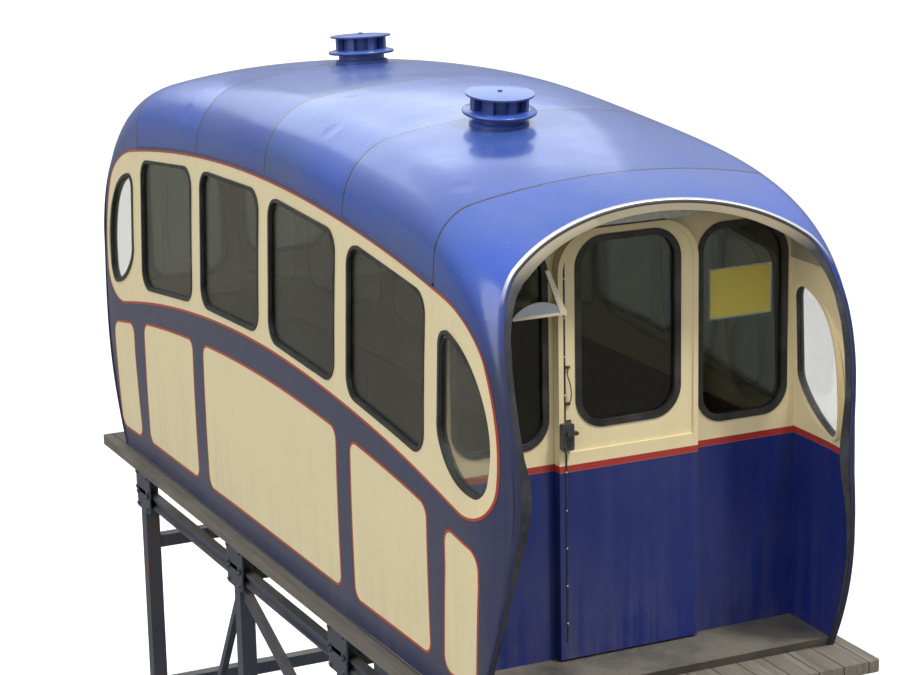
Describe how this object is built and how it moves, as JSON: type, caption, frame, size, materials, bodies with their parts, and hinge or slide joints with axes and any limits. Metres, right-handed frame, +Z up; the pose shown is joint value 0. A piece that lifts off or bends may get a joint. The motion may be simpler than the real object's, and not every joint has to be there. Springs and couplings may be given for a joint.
{
  "type": "funicular car",
  "caption": "Double-ended funicular car: level windowed passenger body with sliding end doors on a wedge-shaped steel underframe and flanged wheelsets for a steep incline.",
  "frame": {"origin": "on the sloping rail plane, midway between the rails and midway between the two wheelsets", "axes": "+Z is up, +X points uphill along the level body, +Y is across the track; the rails rise 33 degrees towards +X"},
  "size_m": [5.6409, 2.12, 6.3166],
  "materials": {
    "body_paint": "semi-gloss coach paint, cream over blue",
    "roof_paint": "gloss blue coach paint",
    "end_paint": "semi-gloss cream above, royal blue below",
    "frame_paint": "dark blue-grey frame paint, weathered",
    "wheel_steel": "dark cast steel with bright treads",
    "cast_iron": "greasy painted castings",
    "bright_metal": "drawn aluminium",
    "rubber": "black glazing rubber",
    "glass": "clear toughened glass",
    "timber": "varnished hardwood slats",
    "lamp_plastic": "opal lamp covers",
    "notice_sheet": "blank yellow sheet",
    "floor_cover": "dark ribbed floor covering"
  },
  "bodies": {
    "car": {"side_panel_left": "body_paint", "side_panel_right": "body_paint", "roof_panels": "roof_paint", "hood_uphill": "roof_paint", "hood_downhill": "roof_paint", "window_rubber_left": "rubber", "window_rubber_right": "rubber", "side_glass_left": "glass", "side_glass_right": "glass", "end_wall_uphill": "end_paint", "end_wall_downhill": "end_paint", "end_glass_uphill": "glass", "end_glass_downhill": "glass", "end_rubber_uphill": "rubber", "end_rubber_downhill": "rubber", "door_track_uphill": "bright_metal", "door_track_downhill": "bright_metal", "floor": "floor_cover", "deck_plate": "frame_paint", "bench_left": "timber", "bench_right": "timber", "roof_ventilators": "roof_paint", "sole_bars": "frame_paint", "incline_beams": "frame_paint", "frame_posts": "frame_paint", "side_rails": "frame_paint", "cross_members": "frame_paint", "beam_ties": "frame_paint", "axle_boxes_uphill": "cast_iron", "axle_boxes_downhill": "cast_iron", "rope_drawbar": "frame_paint", "tail_rope_eye": "frame_paint", "rim_beads": "rubber", "drip_mouldings": "body_paint", "ceiling_lamps": "lamp_plastic", "notice_board": "notice_sheet", "mirror_bracket": "bright_metal", "frame_braces": "frame_paint", "track_brakes": "cast_iron"},
    "sliding_door_uphill": {"door_uphill": "end_paint", "door_glass_uphill": "glass", "door_rubber_uphill": "rubber"},
    "sliding_door_downhill": {"door_downhill": "end_paint", "door_glass_downhill": "glass", "door_rubber_downhill": "rubber"},
    "wheels_uphill": {"wheelset_uphill": "wheel_steel"},
    "wheels_downhill": {"wheelset_downhill": "wheel_steel"}
  },
  "joints": [
    {"name": "door_slide_uphill", "type": "slide", "parent": "car", "child": "sliding_door_uphill", "axis": [0, 1, 0], "range_m": [0, 0.5]},
    {"name": "door_slide_downhill", "type": "slide", "parent": "car", "child": "sliding_door_downhill", "axis": [0, -1, 0], "range_m": [0, 0.5]},
    {"name": "wheelset_spin_uphill", "type": "hinge", "parent": "car", "child": "wheels_uphill", "pos_m": [1.96052, 0, 1.57127], "axis": [0, 1, 0], "continuous": true},
    {"name": "wheelset_spin_downhill", "type": "hinge", "parent": "car", "child": "wheels_downhill", "pos_m": [-2.23284, 0, -1.15193], "axis": [0, 1, 0], "continuous": true}
  ]
}
